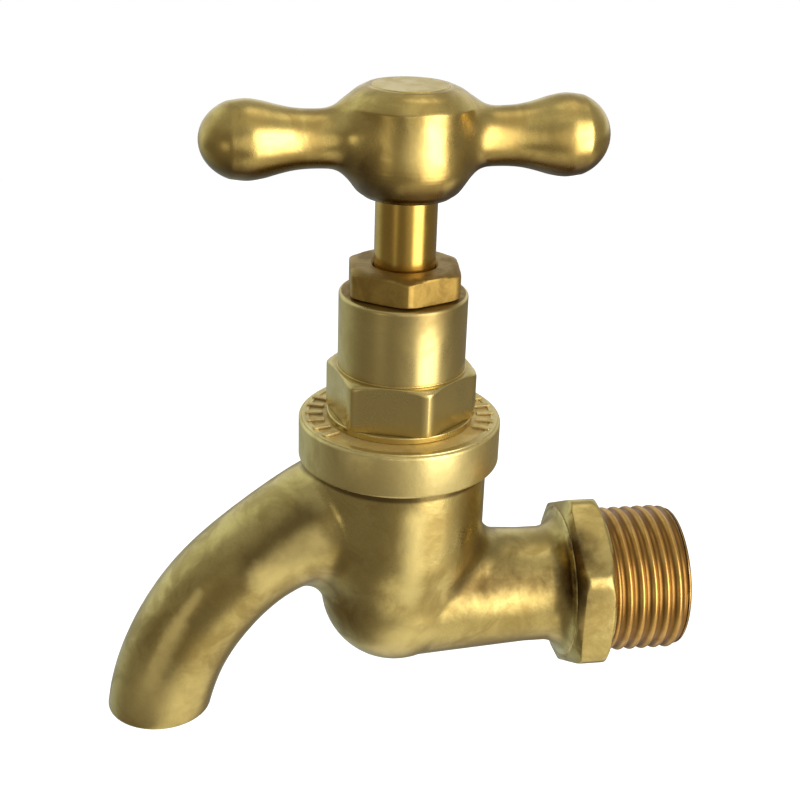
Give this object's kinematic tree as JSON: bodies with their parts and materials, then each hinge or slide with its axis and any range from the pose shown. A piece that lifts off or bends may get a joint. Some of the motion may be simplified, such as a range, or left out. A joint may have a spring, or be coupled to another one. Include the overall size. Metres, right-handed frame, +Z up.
{
  "type": "bib tap",
  "caption": "Cast brass bib tap with a threaded inlet, down-turned spout, hexagon bonnet, gland nut, rising spindle and T handle with rounded knobs.",
  "frame": {"origin": "on the inlet axis, in the plane where the inlet thread meets the face of its hexagon", "axes": "+Y along the inlet thread towards the supply pipe, +Z up along the spindle axis, spout on the -Y side"},
  "size_m": [0.0274, 0.0823, 0.0887],
  "materials": {
    "cast_brass": "satin cast",
    "machined_brass": "satin turned",
    "gland_brass": "satin turned",
    "polished_brass": "polished",
    "handle_brass": "satin polished",
    "cap_brass": "satin",
    "fibre": "matte",
    "packing": "matte",
    "rubber": "matte"
  },
  "bodies": {
    "body": {"tap_body": "cast_brass", "bonnet": "machined_brass", "bonnet_washer": "fibre", "gland_nut": "gland_brass", "gland_follower": "gland_brass", "packing_ring_1": "packing", "packing_ring_2": "packing", "packing_ring_3": "packing"},
    "jumper": {"jumper_valve": "machined_brass", "tap_washer": "rubber", "washer_nut": "machined_brass"},
    "spindle": {"spindle": "polished_brass", "handle": "handle_brass", "handle_screw": "polished_brass", "handle_cap": "cap_brass"}
  },
  "joints": [
    {"name": "jumper_lift", "type": "slide", "parent": "body", "child": "jumper", "axis": [0, 0, 1], "range_m": [0, 0.005]},
    {"name": "handle_turn", "type": "hinge", "parent": "jumper", "child": "spindle", "pos_m": [0, -0.03, 0.066], "axis": [0, 0, 1], "range_deg": [0, 810]}
  ],
  "couplings": [
    {"joint": "jumper_lift", "follows": "handle_turn", "m_per_rad": 0.00035014}
  ]
}
